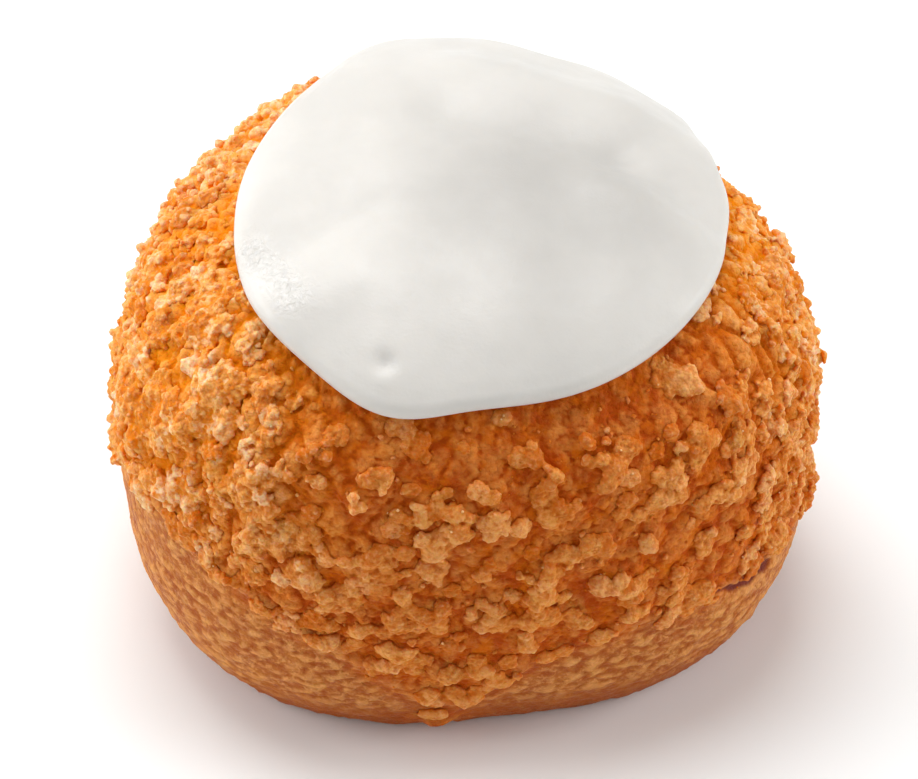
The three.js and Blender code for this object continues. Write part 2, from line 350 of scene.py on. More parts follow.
def place_crag(azimuth, polar, turn, length, width, rise, sizes):
    """A crag on the baked surface, lying along a direction that is turned from level."""
    normal = dough_normal(azimuth, polar)
    level = numpy.array([-math.sin(azimuth), math.cos(azimuth), 0.0])
    along = level * math.cos(turn) + numpy.cross(normal, level) * math.sin(turn)
    along += normal * numpy.dot(normal, level) * (1 - math.cos(turn))
    middle = baked_point(azimuth, polar, sizes)
    return Crag(azimuth, middle, normal, along, numpy.cross(normal, along), length, width, rise)


def scattered_crags(stream, sizes):
    """A spiral of even places over the ball, each moved a little, of which the bare crust keeps its own."""
    golden = math.pi * (3 - math.sqrt(5))
    crags = []
    for index in range(CRAG_SITES):
        azimuth = index * golden % (2 * math.pi) + between(stream, (-CRAG_STRAY, CRAG_STRAY))
        even = math.acos(1 - 2 * (index + 0.5) / CRAG_SITES)
        polar = even + between(stream, (-CRAG_STRAY, CRAG_STRAY))
        length = between(stream, CRAG_LENGTHS)
        width = length * between(stream, CRAG_WIDTH_SHARES)
        rise = between(stream, CRAG_RISES)
        crag = place_crag(azimuth, polar, next(stream) * math.pi, length, width, rise, sizes)
        next(stream)  # the solids' own draw for their stones
        bare = distance_from_icing(crag.middle) > length + CRAG_CLEARANCE
        if bare and crag.middle[2] > crust_edge_height(azimuth) + width:
            crags.append(crag)
    return crags


def edge_crags(stream, sizes):
    """A broken row of crags along the crust's lower edge."""
    crags = []
    for index in range(EDGE_CRAGS):
        azimuth = 2 * math.pi * (index + 0.5 * next(stream)) / EDGE_CRAGS
        length = between(stream, EDGE_CRAG_LENGTHS)
        width = between(stream, EDGE_CRAG_WIDTHS)
        rise = between(stream, EDGE_CRAG_RISES)
        wanted = crust_edge_height(azimuth) + between(stream, EDGE_CRAG_HEIGHTS)
        polar = math.pi / 4
        while baked_point(azimuth, polar, sizes)[2] > wanted:
            polar += 0.01
        crags.append(place_crag(azimuth, polar, between(stream, (-0.25, 0.25)), length, width, rise, sizes))
    return crags


def all_crags(sizes):
    stream = random_stream(CRAG_SEED)
    crags = scattered_crags(stream, sizes) + edge_crags(stream, sizes)
    for azimuth, polar, length, rise in LANDMARK_CRAGS:
        shape = (length * MM, 0.75 * length * MM, rise * MM)
        crags.append(place_crag(azimuth * DEGREE, polar * DEGREE, 0.3, *shape, sizes))
    return crags


def crag_rise(crags, points):
    """How far the crags raise the crust at each point."""
    highest = numpy.zeros(len(points))
    for crag in crags:
        offset = points - crag.middle
        near = numpy.flatnonzero(numpy.abs(offset).max(axis=1) < crag.length)
        along = offset[near] @ crag.along / crag.length
        across = offset[near] @ crag.across / crag.width
        beside = numpy.minimum(1, along**2 + across**2)
        highest[near] = numpy.maximum(highest[near], crag.rise * numpy.sqrt(1 - beside))
    return highest


# ---------------------------------------------------------------------------------------------------------------
# Meshes
# ---------------------------------------------------------------------------------------------------------------


def positions_of(mesh):
    flat = numpy.empty(len(mesh.vertices) * 3, dtype=numpy.float32)
    mesh.vertices.foreach_get("co", flat)
    return flat.reshape(-1, 3).astype(float)


def set_positions(mesh, points):
    mesh.vertices.foreach_set("co", points.astype(numpy.float32).ravel())
    mesh.update()


def normals_of(mesh):
    flat = numpy.empty(len(mesh.vertices) * 3, dtype=numpy.float32)
    mesh.vertices.foreach_get("normal", flat)
    return flat.reshape(-1, 3).astype(float)


def store(mesh, name, values):
    """Keeps one number for each vertex, for the materials to read."""
    attribute = mesh.attributes.new(name, "FLOAT", "POINT")
    attribute.data.foreach_set("value", numpy.asarray(values, dtype=numpy.float32))


def hollowness(mesh, rounds):
    """How far each vertex lies under the mean of its surroundings, in metres."""
    ends = numpy.empty(len(mesh.edges) * 2, dtype=numpy.int32)
    mesh.edges.foreach_get("vertices", ends)
    first, second = ends.reshape(-1, 2).T
    points = positions_of(mesh)
    counts = numpy.bincount(ends, minlength=len(points))[:, None]
    mean = points
    for _ in range(rounds):
        total = numpy.empty_like(mean)
        for axis in range(3):
            total[:, axis] = numpy.bincount(first, mean[second, axis], len(points))
            total[:, axis] += numpy.bincount(second, mean[first, axis], len(points))
        mean = (mean + total / counts) / 2
    return ((mean - points) * normals_of(mesh)).sum(axis=1)


def noise_at(points, size, seed=0, octaves=3):
    """Fractal noise from about -1 to 1 at each point, with shapes of about this size."""
    moved = points / size + seed
    return numpy.array([noise.fractal(Vector(point), 1.0, 2.0, octaves) for point in moved])


def mesh_from(name, bundle):
    """A mesh from a bmesh, which is freed."""
    mesh = bpy.data.meshes.new(name)
    bundle.to_mesh(mesh)
    bundle.free()
    return mesh


def add_piece(name, mesh, material):
    """Puts a finished mesh in the scene as a piece of the bun."""
    mesh.shade_smooth()
    mesh.materials.append(material)
    piece = bpy.data.objects.new(name, mesh)
    bpy.context.scene.collection.objects.link(piece)
    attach(piece, "root")
    return piece


def applied(mesh, kind, **settings):
    """The mesh that one modifier makes of a mesh."""
    holder = bpy.data.objects.new("holder", mesh)
    bpy.context.scene.collection.objects.link(holder)
    modifier = holder.modifiers.new("modifier", kind)
    for name, value in settings.items():
        setattr(modifier, name, value)
    evaluated = holder.evaluated_get(bpy.context.evaluated_depsgraph_get())
    made = bpy.data.meshes.new_from_object(evaluated)
    bpy.data.objects.remove(holder)
    return made


def triangle_count(mesh):
    return sum(len(face.vertices) - 2 for face in mesh.polygons)


# ---------------------------------------------------------------------------------------------------------------
# The body: dough and bare crust
# ---------------------------------------------------------------------------------------------------------------

BODY_CROWDING = 0.15
LUMP_WARP = 0.45
LUMP_STRETCH = 1.6
BODY_SUBDIVISIONS = 7
ICING_COVER = 1 * MM  # how far under the icing the fine crust reaches
FINE_FROM = 1.5 * MM  # how far above the crust's edge it starts
COARSE_BACK = 25 * DEGREE  # straight behind, the crumb hides the crust, and it stays coarse
SCORCH_START = (-41.5 * DEGREE, 100 * DEGREE)  # the burnt crack runs from here
SCORCH_END = (-28 * DEGREE, 103 * DEGREE)
SCORCH_WIDTH = 0.6 * MM
NUB = (-94 * DEGREE, 127 * DEGREE)  # a small swelling low on the front


def body_angles(directions):
    azimuth = numpy.arctan2(directions[:, 1], directions[:, 0])
    even = numpy.arccos(numpy.clip(directions[:, 2], -1, 1))
    return azimuth, even + BODY_CROWDING * numpy.sin(2 * even)


def ball_mesh():
    """A ball of small triangles, four times as many where the crust shows."""
    ball = bmesh.new()
    bmesh.ops.create_icosphere(ball, subdivisions=BODY_SUBDIVISIONS, radius=1)
    directions = numpy.array([vertex.co for vertex in ball.verts])
    azimuth, polar = body_angles(directions)
    points = dough_point(azimuth, polar)
    shows = distance_from_icing(points) > -ICING_COVER
    fine = shows & (points[:, 2] > crust_edge_height(azimuth) + FINE_FROM)
    fine &= numpy.abs(turn_from(azimuth, math.pi / 2)) > COARSE_BACK
    edges = [edge for edge in ball.edges if fine[edge.verts[0].index] and fine[edge.verts[1].index]]
    bmesh.ops.subdivide_edges(ball, edges=edges, cuts=1)
    bmesh.ops.triangulate(ball, faces=ball.faces)
    for vertex in ball.verts:
        vertex.co.normalize()
    return mesh_from("body", ball)


def lumps_at(points, size, seed):
    """Packed lumps of about this size: 0 in the seams, up to 1 over the tallest, each lump with its own height."""
    warp = numpy.array([noise.noise_vector(Vector(point)) for point in points / (1.4 * size) + seed])
    found = [noise.voronoi(Vector(point))[:2] for point in points / size + LUMP_WARP * warp + seed]
    gaps = numpy.array([distances[1] - distances[0] for distances, _ in found])
    middles = numpy.array([places[0] for _, places in found])
    own = numpy.abs(43758.5453 * numpy.sin(middles @ [12.9898, 78.233, 37.719])) % 1
    rounded = 1 - (1 - numpy.clip(gaps, 0, 0.7) / 0.7) ** 2
    return rounded * (0.5 + 0.5 * own)


def flow_at(azimuth, polar):
    """Places in which lumps are drawn out from the crown towards the sole."""
    around = 0.85 * WAIST_RADIUS
    down = polar * WAIST_RADIUS / LUMP_STRETCH
    return numpy.stack([around * numpy.cos(azimuth), around * numpy.sin(azimuth), down], axis=1)


def bare_relief(azimuth, polar, points, crags):
    """How far the body's own fine surface stands out, before its loose crumb, and how near a lump's top it is."""
    chunky, ridged, crumbly = (bell(azimuth, side) for side in (CHUNKY_SIDE, RIDGED_SIDE, CRUMBLY_SIDE))
    rough = numpy.clip(chunky + ridged + crumbly, 0, 1)
    sunk = (0.6 * chunky + 0.35 * ridged + 0.25 * crumbly) * MM
    chunks = lumps_at(flow_at(azimuth, polar), 2.3 * MM, 3)
    bits = lumps_at(points, 1.1 * MM, 9)
    crag_part = 0.3 * crag_rise(crags, points)
    chunk_part = (0.25 + 1.05 * rough) * MM * (chunks - 0.5)
    bit_part = (0.2 + 0.35 * rough) * MM * (bits - 0.4)
    grain_part = 0.16 * MM * noise_at(points, 1.0 * MM, 11, 4)
    slow_part = 0.22 * MM * noise_at(points, 4 * MM, 5)
    return crag_part + chunk_part + bit_part + grain_part + slow_part - sunk, 0.6 * chunks + 0.4 * bits


def crust_relief(azimuth, polar, level, crags):
    """How far the crust's bare surface stands out over the level surface, nothing where it isn't crust, and how near
    a lump's top it is."""
    under_icing = smooth_step(-0.5 * MM, -ICING_COVER, distance_from_icing(level))
    relief, crown = bare_relief(azimuth, polar, level, crags)
    return crusted_share(azimuth, level) * (1 - under_icing) * relief, crown


def dough_relief(points):
    """The fine wrinkles of the smooth dough."""
    wrinkles = numpy.abs(noise_at(points * [1, 1, 1.5], 2.2 * MM, 21, 4))
    return 0.18 * MM * noise_at(points, 7 * MM, 31) - 0.32 * MM * (0.5 - wrinkles)


def spot_share(azimuth, polar, place, spread):
    """1 at a place on the body, falling to 0 over a spread in metres."""
    away = numpy.hypot(turn_from(azimuth, place[0]) * numpy.sin(polar), polar - place[1])
    return numpy.exp(-((away * WAIST_RADIUS / spread) ** 2))


def scorch_share(azimuth, polar):
    """1 in the burnt crack, 0 away from it. It winds, and is widest at its end."""
    span = numpy.subtract(SCORCH_END, SCORCH_START)
    across, down = turn_from(azimuth, SCORCH_START[0]), polar - SCORCH_START[1]
    along = numpy.clip((across * span[0] + down * span[1]) / (span @ span), 0, 1)
    winding = 0.012 * numpy.sin(6.5 * along - 2) + 0.005 * numpy.sin(19 * along)
    away = numpy.hypot(across - along * span[0], down - along * span[1] - winding) * WAIST_RADIUS
    return numpy.exp(-((away / (SCORCH_WIDTH * (0.4 + along))) ** 2))


def make_body_mesh(crags, sizes):
    mesh = ball_mesh()
    azimuth, polar = body_angles(positions_of(mesh))
    level = baked_point(azimuth, polar, sizes)
    normal = dough_normal(azimuth, polar)
    crusted = crusted_share(azimuth, level)
    crust_part, crown = crust_relief(azimuth, polar, level, crags)
    dough_part = (1 - crusted) * dough_relief(level)
    scorched = scorch_share(azimuth, polar)
    nub = 1.1 * MM * spot_share(azimuth, polar, NUB, 1.6 * MM)
    out = crust_part + dough_part + nub - 0.5 * MM * scorched
    points = level + out[:, None] * normal
    soled = (numpy.maximum(-SOLE_ROUNDING, points[:, 2]) + SOLE_ROUNDING) ** 2 / (4 * SOLE_ROUNDING)
    points[:, 2] = numpy.where(points[:, 2] < SOLE_ROUNDING, soled, points[:, 2])
    set_positions(mesh, points)
    wander = 2.6 * MM * noise_at(level, 5 * MM, 71)
    edge = crust_edge_height(azimuth)
    coated = smooth_step(edge - 3.6 * MM, edge + 3.6 * MM, level[:, 2] + wander)
    store(mesh, "coated", numpy.maximum(coated, 0.8 * spot_share(azimuth, polar, NUB, 3.2 * MM)))
    store(mesh, "low", smooth_step(11 * MM, 1 * MM, points[:, 2]))
    store(mesh, "crown", crown)
    store(mesh, "hollow", hollowness(mesh, 6) / MM)
    store(mesh, "scorched", scorched)
    # The golden share is partly painted light on the lit sides and the upper crust.
    store(mesh, "golden", golden_and_lit_share(azimuth, points))
    return mesh


def golden_and_lit_share(azimuth, points):
    """1 where the crust is golden, at the left and the right and higher up, and 0 where it is brown at the front.
    This is partly the crust's own baked colour and partly painted light, lighter where the lamps fall most.
    """
    # The sides and the upper crust are painted more golden partly as painted light, where the lamps light them most.
    left = bell(azimuth, (172 * DEGREE, 62 * DEGREE))
    right = bell(azimuth, (18 * DEGREE, 44 * DEGREE))
    height = smooth_step(12 * MM, 40 * MM, points[..., 2])
    return numpy.clip(left + 0.8 * right, 0, 1) * (0.4 + 0.6 * height)


# ---------------------------------------------------------------------------------------------------------------
# The crumb
# ---------------------------------------------------------------------------------------------------------------

GRAIN_SHAPES = 12
Grains = namedtuple("Grains", "middles radii turns tones feet")
# How one kind of crag is built: its size and its height as shares of the crag's, the area of crust that each of its
# crumbs gets, the sizes of the crumbs and of the grains on them, and how often a crumb's grains would cover it.
CrumbKind = namedtuple("CrumbKind", "spread rise area crumbs grains cover")
FLAKES = CrumbKind(0.74, 0.6, 1.4 * MM**2, (0.4 * MM, 1.1 * MM), (0.13 * MM, 0.28 * MM), 2.2)
CLUMPS = CrumbKind(0.85, 0.7, 1.7 * MM**2, (0.5 * MM, 1.25 * MM), (0.2 * MM, 0.45 * MM), 1.3)
LUMPS = CrumbKind(0.85, 0.85, 3.0 * MM**2, (0.8 * MM, 1.8 * MM), (0.3 * MM, 0.7 * MM), 0.5)
RIDGES = CrumbKind(0.8, 0.6, 2.0 * MM**2, (0.55 * MM, 1.3 * MM), (0.22 * MM, 0.5 * MM), 0.9)
CRUMB_ROUGHNESS = 0.09 * MM


def grain_shapes(random, subdivisions, roughness):
    """A few rough closed stones of unit size, as vertex and face arrays."""
    stones = []
    for _ in range(GRAIN_SHAPES):
        stone = bmesh.new()
        bmesh.ops.create_icosphere(stone, subdivisions=subdivisions, radius=1)
        points = numpy.array([vertex.co for vertex in stone.verts])
        faces = numpy.array([[vertex.index for vertex in face.verts] for face in stone.faces])
        stone.free()
        stones.append((points * random.uniform(1 - roughness, 1, (len(points), 1)), faces))
    return stones


def grain_mesh(name, grains, stones):
    """All grains as one joined mesh, with each grain's tone kept on its vertices."""
    vertices, faces = [], []
    size = len(stones[0][0])
    for index, (middle, radii, turn) in enumerate(zip(grains.middles, grains.radii, grains.turns)):
        points, corners = stones[index % len(stones)]
        vertices.append(middle + (points * radii) @ turn)
        faces.append(corners + index * size)
    mesh = bpy.data.meshes.new(name)
    mesh.from_pydata(numpy.concatenate(vertices).tolist(), [], numpy.concatenate(faces).tolist())
    mesh.update()
    store(mesh, "tone", numpy.repeat(grains.tones, size))
    return mesh


def turned_frames(normals, angles):
    """For each normal, three axes: two on the surface, turned by an angle, and the normal itself."""
    level = unit(numpy.cross(numpy.tile([0.0, 0.0, 1.0], (len(normals), 1)), normals))
    upright = numpy.cross(normals, level)
    cosine, sine = numpy.cos(angles)[:, None], numpy.sin(angles)[:, None]
    return numpy.stack([level * cosine + upright * sine, upright * cosine - level * sine, normals], axis=1)


def settle(points, heights, crags, sizes):
    """Points moved onto the crust, each at its own height over it, with the normals and the crust's rise there."""
    azimuth, polar = angles_of(points)
    feet, _ = crust_relief(azimuth, polar, baked_point(azimuth, polar, sizes), crags)
    return baked_point(azimuth, polar, sizes, feet + heights), dough_normal(azimuth, polar), feet


def crag_crumbs(crag, random, kind):
    """The crumbs that a crag is made of: their places along and across it, their radii, heights and tones."""
    area = math.pi * crag.length * crag.width * kind.spread**2
    count = max(1, round(area / kind.area))
    angle = random.uniform(0, 2 * math.pi, count)
    reach = random.uniform(0, 0.95, count) ** 0.6 * kind.spread
    radii = random.uniform(*kind.crumbs, count)
    heights = kind.rise * crag.rise * random.uniform(0.5, 1.15, count) * (1 - 0.35 * reach**2)
    tones = 0.6 * random.uniform(0, 1) + 0.4 * random.uniform(0, 1, count)
    return reach * numpy.cos(angle) * crag.length, reach * numpy.sin(angle) * crag.width, radii, heights, tones


def crumb_stones(crumbs, random, kind):
    """Each crumb's core and the grains over it: places along and across, heights, radii and tones."""
    along, across, radii, heights, tones = crumbs
    grain = sum(kind.grains) / 2
    counts = numpy.maximum(5, 2 * kind.cover * (radii / grain) ** 2).astype(int)
    owner = numpy.repeat(numpy.arange(len(radii)), counts)
    angle = random.uniform(0, 2 * math.pi, len(owner))
    up = random.uniform(0, 1, len(owner))
    out = radii[owner] * numpy.sqrt(1 - up**2) * random.uniform(0.8, 1.05, len(owner))
    grain_radii = random.uniform(*kind.grains, (len(owner), 1)) * random.uniform(0.75, 1.3, (len(owner), 3))
    core_radii = numpy.stack([radii, random.uniform(0.75, 1, len(radii)) * radii, 1.15 * heights], axis=1)
    grain_tones = numpy.clip(tones[owner] + random.uniform(-0.15, 0.15, len(owner)), 0, 1)
    return (
        numpy.concatenate([along, along[owner] + out * numpy.cos(angle)]),
        numpy.concatenate([across, across[owner] + out * numpy.sin(angle)]),
        numpy.concatenate([0 * heights, 0.9 * up * heights[owner]]),
        numpy.concatenate([core_radii, grain_radii]),
        numpy.concatenate([tones, grain_tones]),
    )


def gather_grains(members, kind, crags, random, sizes):
    """The crumbs and grains of many crags of one kind, settled on the crust."""
    columns = []
    for crag in members:
        along, across, heights, radii, tones = crumb_stones(crag_crumbs(crag, random, kind), random, kind)
        places = crag.middle + along[:, None] * crag.along + across[:, None] * crag.across
        columns.append((places, heights, radii, tones))
    places, heights, radii, tones = (numpy.concatenate(column) for column in zip(*columns))
    middles, normals, feet = settle(places, heights, crags, sizes)
    turns = turned_frames(normals, random.uniform(0, math.pi, len(radii)))
    grains = Grains(middles, radii, turns, tones, feet)
    clear = scorch_share(*angles_of(middles)) < 0.02
    return Grains(*(column[clear] for column in grains))


def fused_crumb(name, grains, stones, detail, most_triangles):
    """Grains fused where they overlap, as one closed skin that is thinned to at most this many triangles."""
    loose = grain_mesh(name, grains, stones)
    skin = applied(loose, "REMESH", mode="VOXEL", voxel_size=detail)
    bpy.data.meshes.remove(loose)
    ratio = min(1, most_triangles / triangle_count(skin))
    thin = applied(skin, "DECIMATE", ratio=ratio)
    bpy.data.meshes.remove(skin)
    thin.name = name
    points = positions_of(thin)
    rough = CRUMB_ROUGHNESS * noise_at(points, 0.42 * MM, 51, 2)
    set_positions(thin, points + rough[:, None] * normals_of(thin))
    return thin


def nearest_grains(points, grains):
    tree = KDTree(len(grains.middles))
    for index, middle in enumerate(grains.middles):
        tree.insert(middle, index)
    tree.balance()
    return numpy.array([tree.find(point)[1] for point in points])


def measure_crumb(mesh, grains, sizes):
    """Keeps what the crumb's material reads: how high, how hollow and how deep in a crevice (for its painted
    highlight, shade and glow), how golden (partly painted light) and how pale each place is.
    """
    points = positions_of(mesh)
    nearest = nearest_grains(points, grains)
    azimuth, polar = angles_of(points)
    level = baked_point(azimuth, polar, sizes)
    height = ((points - level) * dough_normal(azimuth, polar)).sum(axis=1)
    store(mesh, "lift", (height - grains.feet[nearest]) / MM)
    store(mesh, "hollow", hollowness(mesh, 6) / MM)
    # How deep in a crevice each place lies, for the painted shade there.
    store(mesh, "crevice_shade", hollowness(mesh, 30) / MM)
    # The golden share is partly painted light on the lit sides and the upper crust.
    store(mesh, "golden", golden_and_lit_share(azimuth, points))
    if "tone" in mesh.attributes:
        mesh.attributes.remove(mesh.attributes["tone"])
    store(mesh, "tone", grains.tones[nearest])


# ---------------------------------------------------------------------------------------------------------------
# The icing
# ---------------------------------------------------------------------------------------------------------------

ICING_RINGS = 64
ICING_EDGE_STEPS = 18
ICING_TURNS = 320
PIT_PLACE = (-6.4, -20.5)  # millimetres from the bun's axis
PIT_RADIUS = 0.85
FOLD_SHARE = 1.6  # how much deeper the folds are than in the solid
PAINTED_SHADE_PLACE = (8 * MM, -3 * MM)  # the middle of the painted shade that darkens the icing's middle and right, where it catches less light
PAINTED_SHADE_SPREAD = 14 * MM
WRINKLES_START = (-18.3 * MM, -9 * MM)  # fine shiny wrinkles lie along a line from here
WRINKLES_END = (-14.5 * MM, -14.5 * MM)
WRINKLES_SPREAD = 1.8 * MM


def icing_section():
    """The icing's half section as shares of its radius and thickness, from under its middle round to its top."""
    points = []
    for ring in range(ICING_RINGS):
        points.append((ICING_EDGE_START * ring / ICING_RINGS, 0))
    for step in range(ICING_EDGE_STEPS + 1):
        turn = math.pi * (step / ICING_EDGE_STEPS - 0.5)
        out = ICING_EDGE_START + (1 - ICING_EDGE_START) * math.cos(turn)
        points.append((out, ICING_EDGE_HEIGHT / 2 * (1 + math.sin(turn))))
    for ring in reversed(range(ICING_RINGS)):
        share = ring / ICING_RINGS
        height = ICING_EDGE_HEIGHT + (1 - ICING_EDGE_HEIGHT) * math.sqrt(1 - share**3)
        points.append((ICING_EDGE_START * share, height))
    return points


def icing_disc():
    """The section spun into a disc of unit radius and unit thickness."""
    disc = bmesh.new()
    section = [disc.verts.new((out, 0, up)) for out, up in icing_section()]
    edges = [disc.edges.new(pair) for pair in zip(section, section[1:])]
    bmesh.ops.spin(
        disc, geom=section + edges, axis=(0, 0, 1), cent=(0, 0, 0), steps=ICING_TURNS, angle=2 * math.pi,
        use_merge=True,
    )
    bmesh.ops.remove_doubles(disc, verts=disc.verts, dist=1e-6)
    bmesh.ops.recalc_face_normals(disc, faces=disc.faces)
    return mesh_from("icing_pool", disc)


def beside_line(x, y, start, end):
    """How far places lie from a line between two points, and how far along it, from 0 to 1."""
    span = numpy.subtract(end, start)
    share = numpy.clip(((x - start[0]) * span[0] + (y - start[1]) * span[1]) / (span @ span), 0, 1)
    return numpy.hypot(x - start[0] - share * span[0], y - start[1] - share * span[1]), share


def fold_rise(x, y):
    """The folds the icing set into, as a rise of its top. Everything here is in millimetres."""
    rise = numpy.zeros(len(x))
    for fold in ICING_FOLDS:
        away, _ = beside_line(x, y, fold.start, fold.end)
        rise += FOLD_SHARE * fold.by * numpy.exp(-((away / fold.spread) ** 2))
    return rise


def pit_rise(x, y, depth):
    """The pit of a burst bubble with its raised lip towards the edge. Millimetres."""
    away = numpy.hypot(x - PIT_PLACE[0], (y - PIT_PLACE[1]) * 1.25) / PIT_RADIUS
    lip = numpy.hypot(x - PIT_PLACE[0], (y - PIT_PLACE[1] + 1.1) * 1.5) / PIT_RADIUS
    return 0.3 * depth * numpy.exp(-(lip**2)) - depth * numpy.exp(-(away**2))


def make_icing_mesh(sizes):
    mesh = icing_disc()
    shares = positions_of(mesh)
    turn = numpy.arctan2(shares[:, 1], shares[:, 0])
    radius = numpy.hypot(shares[:, 0], shares[:, 1]) * icing_radius(turn)
    x = ICING_X + radius * numpy.cos(turn)
    y = ICING_Y + radius * numpy.sin(turn)
    azimuth = numpy.arctan2(y, x)
    folded = fold_rise(x / MM, y / MM) * MM
    thickness = sizes.icing_thickness + ICING_TOP + ICING_SINK + folded
    top = shares[:, 2] > ICING_EDGE_HEIGHT - 0.01
    above = shares[:, 2] * thickness + top * pit_rise(x / MM, y / MM, sizes.pit_depth / MM) * MM
    polar = polar_at_radius(azimuth, numpy.hypot(x, y))
    points = baked_point(azimuth, polar, sizes, above - ICING_SINK)
    uneven = 0.1 * MM * noise_at(points, 9 * MM, 41, 2) * numpy.clip(shares[:, 2], 0, 1)
    set_positions(mesh, points + uneven[:, None] * dough_normal(azimuth, polar))
    # Painted shade: the icing's colour is darkened over its middle and right, where it catches less light.
    middle = numpy.hypot(x - PAINTED_SHADE_PLACE[0], y - PAINTED_SHADE_PLACE[1])
    store(mesh, "painted_shade", numpy.exp(-((middle / PAINTED_SHADE_SPREAD) ** 2)))
    away, _ = beside_line(x, y, WRINKLES_START, WRINKLES_END)
    store(mesh, "wrinkled", numpy.exp(-((away / WRINKLES_SPREAD) ** 2)))
    return mesh


# ---------------------------------------------------------------------------------------------------------------
# Materials
# ---------------------------------------------------------------------------------------------------------------


class Wiring:
    """One material whose nodes are being added and joined."""

    def __init__(self, name, **constants):
        self.material = bpy.data.materials.new(name)
        self.material.use_nodes = True
        self.tree = self.material.node_tree
        self.shader = self.tree.nodes["Principled BSDF"]
        for name, value in constants.items():
            self.shader.inputs[name.replace("_", " ")].default_value = value
        self.place = self.tree.nodes.new("ShaderNodeTexCoord").outputs["Object"]

    def add(self, kind, inputs, **settings):
        node = self.tree.nodes.new(kind)
        for name, value in settings.items():
            setattr(node, name, value)
        for name, value in inputs.items():
            self.feed(node.inputs[name], value)
        return node

    def feed(self, socket, value):
        if isinstance(value, bpy.types.NodeSocket):
            self.tree.links.new(value, socket)
        else:
            socket.default_value = value

    def measure(self, name):
        """A number kept on the mesh."""
        return self.add("ShaderNodeAttribute", {}, attribute_name=name).outputs["Fac"]

    def noise(self, size, detail=3, roughness=0.55, warp=0.0):
        inputs = {"Vector": self.place, "Scale": 1 / size, "Detail": detail, "Roughness": roughness}
        return self.add("ShaderNodeTexNoise", {**inputs, "Distortion": warp}).outputs["Fac"]

    def cells(self, size):
        """Distance to the middle of packed round grains of about this size."""
        inputs = {"Vector": self.place, "Scale": 1 / size}
        return self.add("ShaderNodeTexVoronoi", inputs, feature="F1").outputs["Distance"]

    def ramp(self, value, low, high, low_end=0.0, high_end=1.0):
        """Maps low..high to the two ends, with soft shoulders."""
        inputs = {"Value": value, "From Min": low, "From Max": high, "To Min": low_end, "To Max": high_end}
        return self.add("ShaderNodeMapRange", inputs, interpolation_type="SMOOTHSTEP").outputs["Result"]

    def maths(self, operation, first, second):
        return self.add("ShaderNodeMath", {0: first, 1: second}, operation=operation).outputs["Value"]

    def mix(self, share, first, second, blend="MIX"):
        inputs = {0: share, 6: first, 7: second}
        return self.add("ShaderNodeMix", inputs, data_type="RGBA", blend_type=blend).outputs[2]

    def bump(self, height, distance, strength=1.0, normal=None):
        inputs = {"Height": height, "Distance": distance, "Strength": strength}
        if normal is not None:
            inputs["Normal"] = normal
        return self.add("ShaderNodeBump", inputs).outputs["Normal"]

    def finish(self, **links):
        for name, socket in links.items():
            self.feed(self.shader.inputs[name.replace("_", " ")], socket)
        return self.material


def crust_colour(wires, colours):
    """The bare crust: amber on its slopes, tan to pale on its lumps, with soft pale mottles that are partly paler
    crust and partly painted sheen, and painted shade of deep crust in its seams, which turns into a painted glow of
    light through the crust where the crust is golden.
    """
    # The golden share is partly painted light: the lit sides and the upper crust are painted more golden, tan and
    # pale.
    golden = wires.measure("golden")
    turned = wires.ramp(golden, 0.1, 0.7)
    # This colour serves both as the crust's darker tone at random and as the painted shade in its hollows.
    deep = wires.mix(turned, colours.deep, colours.glow)
    clear = wires.mix(turned, colours.amber, colours.glow)
    base = wires.mix(wires.ramp(wires.noise(1.7 * MM, 4, 0.65), 0.36, 0.64), deep, clear)
    # The pale mottles are partly paler crust and partly painted sheen.
    mottles_and_sheen = wires.ramp(wires.noise(3.4 * MM, 4, 0.65, 0.6), 0.47, 0.66, 0.0, 0.7)
    base = wires.mix(mottles_and_sheen, base, wires.mix(turned, colours.mottle_and_sheen, colours.tan))
    speckle = wires.ramp(wires.noise(0.5 * MM, 3, 0.7), 0.35, 0.65, 0.4, 1.0)
    share = wires.maths("MULTIPLY", wires.ramp(golden, 0.0, 0.6, 0.35, 1.0), speckle)
    crown = wires.measure("crown")
    base = wires.mix(wires.maths("MULTIPLY", wires.ramp(crown, 0.2, 0.62), share), base, colours.tan)
    # The highest crowns turn pale as dry crust, more so where the golden share, partly painted light, is high.
    dry = wires.maths("MULTIPLY", wires.ramp(wires.noise(1.9 * MM, 4, 0.6), 0.42, 0.62), turned)
    base = wires.mix(wires.maths("MULTIPLY", wires.ramp(crown, 0.5, 0.8), dry), base, colours.pale)
    # Painted shade in the crust's hollows: they are darkened towards the deep colour, which on the golden crust
    # turns into a painted glow of light through the crust.
    hollow = wires.ramp(wires.measure("hollow"), 0.0, 0.12)
    return wires.mix(hollow, base, deep)


def dough_colour(wires, colours):
    """The smooth dough: tan with brown patches, painted shade in its wrinkles and painted highlight on their crests,
    darker near the sole, with fine pale flecks.
    """
    patches = wires.ramp(wires.noise(3.2 * MM, 4, 0.7, 0.8), 0.36, 0.64)
    base = wires.mix(patches, colours.dough, colours.browned)
    flecks = wires.ramp(wires.noise(0.9 * MM, 4, 0.75, 0.4), 0.44, 0.68, 0.0, 0.65)
    base = wires.mix(flecks, base, colours.crest)
    # Painted highlight on the crests of the dough's wrinkles.
    crests = wires.ramp(wires.measure("hollow"), -0.1, 0.01, 0.5, 0.0)
    base = wires.mix(crests, base, colours.crest)
    # Painted shade in the dough's creases.
    crease_shade = wires.ramp(wires.measure("hollow"), -0.01, 0.07, 0.0, 0.9)
    base = wires.mix(crease_shade, base, colours.browned)
    return wires.mix(wires.ramp(wires.measure("low"), 0.2, 1.0, 0.0, 0.9), base, colours.browned)


